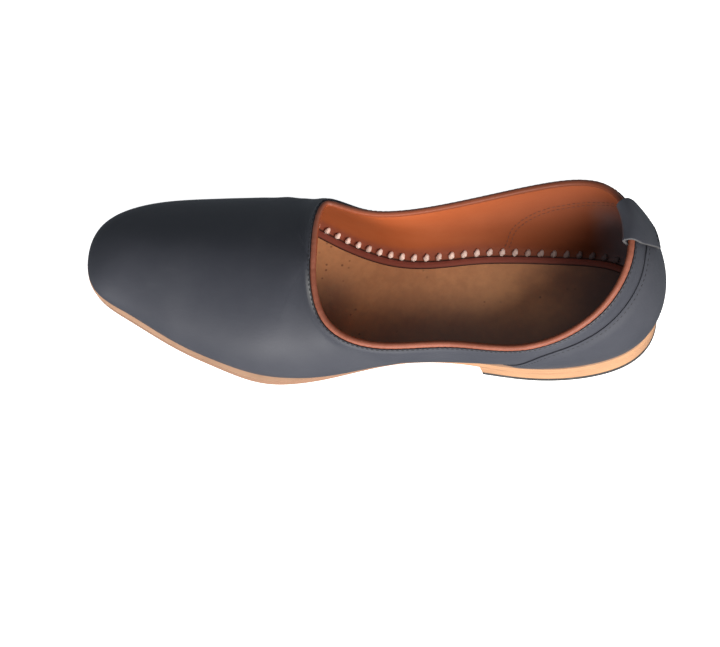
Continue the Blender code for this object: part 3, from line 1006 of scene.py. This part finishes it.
def insole_leather():
    """Olive-brown leather with cloudy dye, fine grain, scattered dark specks and painted shade."""
    material, place = new_finish("olive insole leather")
    clouds = noise(place, scale=42.0, detail=4.0, rough=0.6)
    mottle = noise(place, scale=240.0, detail=3.0, rough=0.6)
    specks = 1 - between(cells(place, scale=210.0), low=0.05, high=0.20)
    sparse = between(noise(place, scale=60.0), low=0.53, high=0.64) * SPECK_SHARE
    colour = blend(between(mixed(clouds, mottle, share=0.35), low=0.36, high=0.66), OLIVE_DARK, OLIVE)
    # Painted shade: the insole darkens towards the heel, where the heel's walls shade it.
    heel_shade = towards_heel(place, HEEL_SHADE_SPAN, clouds) * HEEL_SHADE_SHARE
    colour = blend(heel_shade, colour, INSOLE_SHADE_COLOUR)
    # Painted shade: darker along the outer edge, under the wall, and under the throat's edge.
    colour = blend(painted(place, "insole_shade") * INSOLE_SHADE_SHARE, colour, INSOLE_SHADE_COLOUR)
    return apply_finish(
        material, Base_Color=blend(specks * sparse, colour, SPECK),
        Roughness=ranged(mottle, low=0.6, high=0.8), Normal=bump(mottle, strength=0.25, depth=0.3))


insole_top = raised(seat_height, GAP + INSOLE_THICK)
insole_grids = slab(sole_rows, -MARGIN - INSOLE_CLEAR, insole_top, raised(seat_height, GAP))
outer_edge = insole_grids[0][0][:, 0]
under_throat, _ = tops(row_steps(THROAT_ROW, THROAT_ROW + 1), True)
under_throat[:, 2] = insole_top(under_throat[:, 0])
# Painted shade along the outer edge, under the wall, and under the edge of the throat.
insole_shade = [np.maximum(trough(distance(grid, outer_edge), EDGE_SHADE_WIDTH),
                    trough(distance(grid, under_throat), THROAT_SHADE_WIDTH) * THROAT_SHADE)
         for grid, _ in insole_grids]
insole = join_grids("insole_leather", insole_grids, insole_leather(), "insole",
                    masks={"insole_shade": insole_shade})
round_edges(insole, INSOLE_ROUNDING)

# Heel counter
# A cover of the same black leather round the outside of the heel, skived thin towards its upper edge and
# front end.
# Its curved upper edge is folded and sewn down.
COUNTER_THICK = 1.2
COUNTER_STANDOFF = 0.45
COUNTER_SEAT = 0.1
COUNTER_EDGE = 0.55
COUNTER_SKIVE = 7.0
COUNTER_FOOT = 0.03
COUNTER_LEVELS = 60
COUNTER_ROUNDING = 0.3


def counter_grids(outer):
    """Back and front faces of the counter on one side and the strips that close its edge."""
    rows = row_steps(SEAM_TABLES[outer][0, 0], BACK_ROW)
    climb = np.linspace(0, 1, COUNTER_LEVELS)[None, :]
    shares = COUNTER_FOOT + (seam_share(rows, outer) - COUNTER_FOOT)[:, None] * climb
    face = wall(rows, outer, shares)
    normal = face_normals(rows, outer, shares)
    rim = np.concatenate([face[:, -1], face[0]])
    skive = soft(distance(face, rim) / COUNTER_SKIVE)[:, :, None]
    back = face + normal * COUNTER_SEAT
    front = face + normal * (COUNTER_EDGE + (COUNTER_STANDOFF + COUNTER_THICK - COUNTER_EDGE) * skive)
    closing = [np.stack([front[:, -1], back[:, -1]], 1), np.stack([back[:, 0], front[:, 0]], 1),
               np.stack([back[0], front[0]], 1)[::-1]]
    return [(front, not outer), (back, outer)] + [(strip, not outer) for strip in closing]


counter = join_grids("heel_counter_leather", counter_grids(True) + counter_grids(False),
                     black_leather("black counter leather"), "heel_counter")
round_edges(counter, COUNTER_ROUNDING)

# Collar binding
# A strip of brown leather rolled over the raw edge of the collar, as a soft round piping.
# It runs all the way round, takes the lining's colour on its inside, and its ends are hidden by
# the tab at the back.
BINDING_RADIUS = 1.5
BINDING_INSET = 1.7
BINDING_RISE = 1.35
BINDING_SIDES = 20
PUCKER_PITCH = 3.2
PUCKER = 0.03
RING_STEP = 1.0
RING_REACH = 5
INSIDE_START = 0.42
INSIDE_BLEND = 0.18
INSIDE_END = 1.5
PIPING = (0.138, 0.042, 0.024, 1.0)
PIPING_PALE = (0.180, 0.060, 0.037, 1.0)
PIPING_INSIDE = (0.170, 0.038, 0.013, 1.0)
PIPING_SHADED = (0.095, 0.024, 0.010, 1.0)


def collar_frame(rows, outer):
    """Collar edge points with the wall's normal and the way out of the wall's edge."""
    rows = np.maximum(rows, THROAT_ROW + STEP)
    top = wall(rows, outer, [1.0])[:, 0]
    normal = face_normals(rows, outer, [1.0])[:, 0]
    along = tops(rows + STEP, outer)[0] - tops(rows - STEP, outer)[0]
    return top, normal, unit(np.cross(normal, along)) * (1 if outer else -1)


def evened(values):
    """A closed ring of ways, each turned to the mean of its neighbours."""
    ring = values[:-1]
    mean = unit(sum(np.roll(ring, shift, 0) for shift in range(-RING_REACH, RING_REACH + 1)))
    return np.append(mean, mean[:1], 0)


def collar_ring():
    """Collar frames at even steps round the opening, from the throat back along the outer side."""
    rows = row_steps(THROAT_ROW, BACK_ROW)
    sides = zip(collar_frame(rows, True), collar_frame(rows, False))
    frames = [np.concatenate([outer[1:], inner[-2:0:-1], outer[1:2]]) for outer, inner in sides]
    run = run_along(frames[0])
    at = np.linspace(0, run[-1], int(run[-1] / RING_STEP))
    top, normal, rise = (read_along(at, run, values) for values in frames)
    return top, evened(normal), evened(rise)


def binding_grid():
    """A closed tube on the collar's edge, slightly puckered by its stitches, and its inside mask."""
    top, normal, rise = collar_ring()
    centre = top - normal * BINDING_INSET + rise * BINDING_RISE
    run = run_along(centre)
    waves = round(run[-1] / PUCKER_PITCH) / run[-1]
    radius = BINDING_RADIUS * (1 + PUCKER * np.sin(2 * np.pi * waves * run))
    turns = np.linspace(0, 2 * np.pi, BINDING_SIDES + 1)
    ring = normal[:, None] * np.cos(turns)[:, None] + rise[:, None] * np.sin(turns)[:, None]
    inside = soft((turns / np.pi - INSIDE_START) / INSIDE_BLEND) * (turns < INSIDE_END * np.pi)
    return centre[:, None] + ring * radius[:, None, None], np.tile(inside, (len(run), 1))


def piping_leather():
    """Thin brown leather stretched over a cord, paler where it is scuffed, as the lining inside, with
    painted shade towards the heel.
    """
    material, place = new_finish("brown piping leather")
    clouds = noise(place, scale=90.0, detail=3.0, rough=0.6)
    grain = cells(place, scale=1100.0)
    rolled = blend(between(clouds, low=0.3, high=0.75), PIPING, PIPING_PALE)
    # Painted shade: the inside darkens towards the heel, as the lining does.
    turned = blend(towards_heel(place, SHADED_SPAN, clouds), PIPING_INSIDE, PIPING_SHADED)
    colour = blend(painted(place, "inside"), rolled, turned)
    return apply_finish(material, Base_Color=colour, Roughness=ranged(clouds, low=0.40, high=0.55),
                        Specular_IOR_Level=0.18, Normal=bump(grain, strength=0.2, depth=0.2))


piping, piping_inside = binding_grid()
join_grids("collar_piping", [(piping, True)], piping_leather(), "collar_binding",
           masks={"inside": [piping_inside]})

# Collar and counter stitches
# One row of black thread runs beside the piping, and one beside the counter's folded edge.
# Both are pulled down into the leather.
EDGE_PITCH = 2.4
EDGE_STITCH = 1.7
EDGE_RADIUS = 0.25
EDGE_LIFT = 0.1
COLLAR_STITCH_DOWN = 0.45
COLLAR_STITCH_OUT = -0.10
COUNTER_STITCH_DOWN = 2.0
COUNTER_STITCH_START = 0.1
BLACK_THREAD = (0.004, 0.004, 0.005, 1.0)
BLACK_THREAD_LIT = (0.012, 0.012, 0.013, 1.0)

top, normal, rise = collar_ring()
collar_stitches = top - rise * COLLAR_STITCH_DOWN + normal * COLLAR_STITCH_OUT
edge_parts = [sew_line(collar_stitches, normal, EDGE_PITCH)]
for outer in (True, False):
    rows = np.linspace(SEAM_TABLES[outer][0, 0] + COUNTER_STITCH_START, BACK_ROW, SEAM_POINTS)
    shares = seam_share(rows, outer)[:, None]
    out = face_normals(rows, outer, shares)[:, 0]
    line = wall(rows, outer, shares)[:, 0] + out * COUNTER_EDGE
    line = moved_beside(line, out, COUNTER_STITCH_DOWN * (1 if outer else -1))
    edge_parts.append(sew_line(line, out, EDGE_PITCH))
sew("edge_stitches", edge_parts, EDGE_STITCH, EDGE_RADIUS, EDGE_LIFT,
    waxed_thread("black edge thread", BLACK_THREAD, BLACK_THREAD_LIT))

# Pull tab
# A strip of black leather folded over the back of the collar and sewn down inside and outside.
# It hides the joint of the piping and gives the finger something to pull.
TAB_THICK = 1.4
TAB_ROW = 10.67
TAB_WIDTH = 20.5
TAB_END_WIDTH = 9.0
TAB_OUTER_LENGTH = 20.0
TAB_INNER_LENGTH = 12.0
TAB_STANDOFF = COUNTER_STANDOFF + COUNTER_THICK + GAP
TAB_INSET = 3.5
TAB_COLUMNS = 31
LEG_LEVELS = 24
FOLD_LEVELS = 26
FOLD_HEIGHT = 5.6
FOLD_ROUNDNESS = 0.5
TAB_ROUNDING = 0.35
TAB_SEWN_LEVEL = 4
TAB_SEWN_COLUMNS = 3


def tab_leg(length, offset):
    """One leg of the tab, from the collar's edge down the wall, narrowing to its end."""
    down = np.linspace(0, 1, LEG_LEVELS)
    width = TAB_WIDTH + (TAB_END_WIDTH - TAB_WIDTH) * down
    beside = np.array([TAB_ROW - STEP, TAB_ROW + STEP])
    row_length = np.linalg.norm(np.diff(tops(beside, False)[0], axis=0)) / (2 * STEP)
    rows = TAB_ROW + np.linspace(-0.5, 0.5, TAB_COLUMNS)[:, None] * width / row_length
    flat = rows.ravel()
    upright = wall(flat, False, [1.0, 1.0 - STEP])
    wall_length = np.linalg.norm(upright[:, 0] - upright[:, 1], axis=1) / STEP
    shares = (1 - np.tile(length * down, TAB_COLUMNS) / wall_length)[:, None]
    points = wall(flat, False, shares) + face_normals(flat, False, shares) * offset
    return points.reshape(TAB_COLUMNS, LEG_LEVELS, 3), rows[:, 0]


def tab_grid():
    """The strip: up the outside, over the piping and down the inside."""
    outside, rows = tab_leg(TAB_OUTER_LENGTH, TAB_STANDOFF)
    inside, _ = tab_leg(TAB_INNER_LENGTH, -TAB_INSET)
    turns = np.linspace(0, np.pi, FOLD_LEVELS)[1:-1]
    sweep = np.sign(np.cos(turns)) * np.abs(np.cos(turns)) ** FOLD_ROUNDNESS
    centre = (outside[:, 0] + inside[:, 0]) / 2
    half = (outside[:, 0] - inside[:, 0]) / 2
    rise = collar_frame(rows, False)[2] * FOLD_HEIGHT
    fold = centre[:, None] + half[:, None] * sweep[:, None] + rise[:, None] * np.sin(turns)[:, None]
    return np.concatenate([outside[:, ::-1], fold, inside], 1)


tab_points = tab_grid()
tab = join_grids("pull_tab_leather", [(tab_points, True)], black_leather("black tab leather", wear_and_shade=0.8),
                 "pull_tab")
tab.data.materials.append(cut_edge)
thicken(tab, TAB_THICK, outward=True).material_offset_rim = 1
round_edges(tab, TAB_ROUNDING)
along, down = np.gradient(tab_points, axis=(0, 1))
off_tab = unit(np.cross(down, along))
sewn = np.s_[TAB_SEWN_COLUMNS:-TAB_SEWN_COLUMNS, TAB_SEWN_LEVEL]
tab_line = tab_points[sewn] + off_tab[sewn] * TAB_THICK
sew("tab_stitches", [sew_line(tab_line, off_tab[sewn], EDGE_PITCH)], EDGE_STITCH, EDGE_RADIUS, EDGE_LIFT,
    waxed_thread("black tab thread", BLACK_THREAD, BLACK_THREAD_LIT))

# Floor and light
# A plain white floor that glows a little, so that it stays pale. One soft light stands at the heel
# end of the outer side, a broad low one faces the outer side, and a weak one comes from all round.
FLOOR_RADIUS = 4.0
FLOOR_CORNERS = 96
FLOOR_DROP = 0.0001
FLOOR_WHITE = (0.80, 0.80, 0.80, 1.0)
FLOOR_GLOW = 0.88
GLOW_WHITE = (1.0, 1.0, 1.0, 1.0)
LIGHT_AIM = (0.0, 0.0, 0.03)
LIGHTS = [
    # name, place, width, height, watts, colour
    ("key", (-0.80, 1.05, 0.85), 0.7, 0.7, 36.0, (1.0, 0.96, 0.91)),
    ("low fill", (-0.05, 1.35, 0.20), 2.0, 0.40, 48.0, (1.0, 0.985, 0.97)),
]
SKY_COLOUR = (0.80, 0.90, 1.0, 1.0)
SKY_STRENGTH = 0.28
UPRIGHT = (0.0, 0.0, 1.0)


def pale_floor():
    """A white painted board with the faintest unevenness."""
    material, place = new_finish("pale floor")
    rough = ranged(noise(place, scale=3.0), low=0.75, high=0.85)
    return apply_finish(material, Base_Color=FLOOR_WHITE, Roughness=rough,
                        Emission_Color=GLOW_WHITE, Emission_Strength=FLOOR_GLOW)


floor_mesh = bmesh.new()
bmesh.ops.create_circle(floor_mesh, cap_ends=True, radius=FLOOR_RADIUS, segments=FLOOR_CORNERS)
floor_data = bpy.data.meshes.new("floor")
floor_mesh.to_mesh(floor_data)
floor_mesh.free()
floor_data.materials.append(pale_floor())
floor = add_object("floor", floor_data)
floor.location.z = -FLOOR_DROP
floor.visible_glossy = False


def standing(right, up, back, spot):
    """A matrix at a spot, from the ways to its right, up and back."""
    return Matrix(np.vstack([np.column_stack([right, up, back, spot]), (0.0, 0.0, 0.0, 1.0)]).tolist())


def aimed(spot, aim):
    """A matrix at a spot that looks at an aim."""
    back = unit(np.subtract(spot, aim))
    right = unit(np.cross(UPRIGHT, back))
    return standing(right, np.cross(back, right), back, spot)


for name, spot, width, height, watts, colour in LIGHTS:
    lamp_data = bpy.data.lights.new(name, "AREA")
    lamp_data.shape = "RECTANGLE"
    lamp_data.size = width
    lamp_data.size_y = height
    lamp_data.energy = watts
    lamp_data.color = colour
    lamp = add_object(name, lamp_data)
    lamp.matrix_world = aimed(spot, LIGHT_AIM)

world = bpy.data.worlds.new("soft sky")
world.use_nodes = True
sky = world.node_tree.nodes["Background"]
sky.inputs["Color"].default_value = SKY_COLOUR
sky.inputs["Strength"].default_value = SKY_STRENGTH
bpy.context.scene.world = world
bpy.context.scene.view_settings.view_transform = "Standard"

# Camera
# The photograph's view: high above the outer side, from a little behind the shoe's middle and
# rolled so that the toe points left. Its optical axis meets the picture above the middle.
CAMERA_ELEVATION = 61.65
CAMERA_AZIMUTH = -29.58
CAMERA_ROLL = -22.61
CAMERA_AIM = np.array([147.58, -17.89, 20.0])
CAMERA_DISTANCE = 980.11
FOCAL_PIXELS = 2000.0
PHOTO_WIDTH = 720.0
PHOTO_HEIGHT = 647.0
AXIS_PIXEL_DOWN = 251.5
SENSOR_WIDTH = 36.0

elevation, azimuth, roll = np.radians([CAMERA_ELEVATION, CAMERA_AZIMUTH, CAMERA_ROLL])
over_floor = np.array([np.sin(azimuth), np.cos(azimuth), 0.0])
back = over_floor * np.cos(elevation) + np.array(UPRIGHT) * np.sin(elevation)
level = unit(np.cross(UPRIGHT, back))
steep = np.cross(back, level)
right = np.cos(roll) * level + np.sin(roll) * steep
up = np.cos(roll) * steep - np.sin(roll) * level
spot = (CAMERA_AIM + back * CAMERA_DISTANCE - LAST_MIDDLE) * MM
camera_data = bpy.data.cameras.new("camera")
camera_data.sensor_fit = "HORIZONTAL"
camera_data.sensor_width = SENSOR_WIDTH
camera_data.lens = FOCAL_PIXELS * SENSOR_WIDTH / PHOTO_WIDTH
camera_data.shift_y = (AXIS_PIXEL_DOWN - PHOTO_HEIGHT / 2) / PHOTO_WIDTH
camera = add_object("camera", camera_data)
camera.matrix_world = standing(right, up, back, spot)
bpy.context.scene.camera = camera
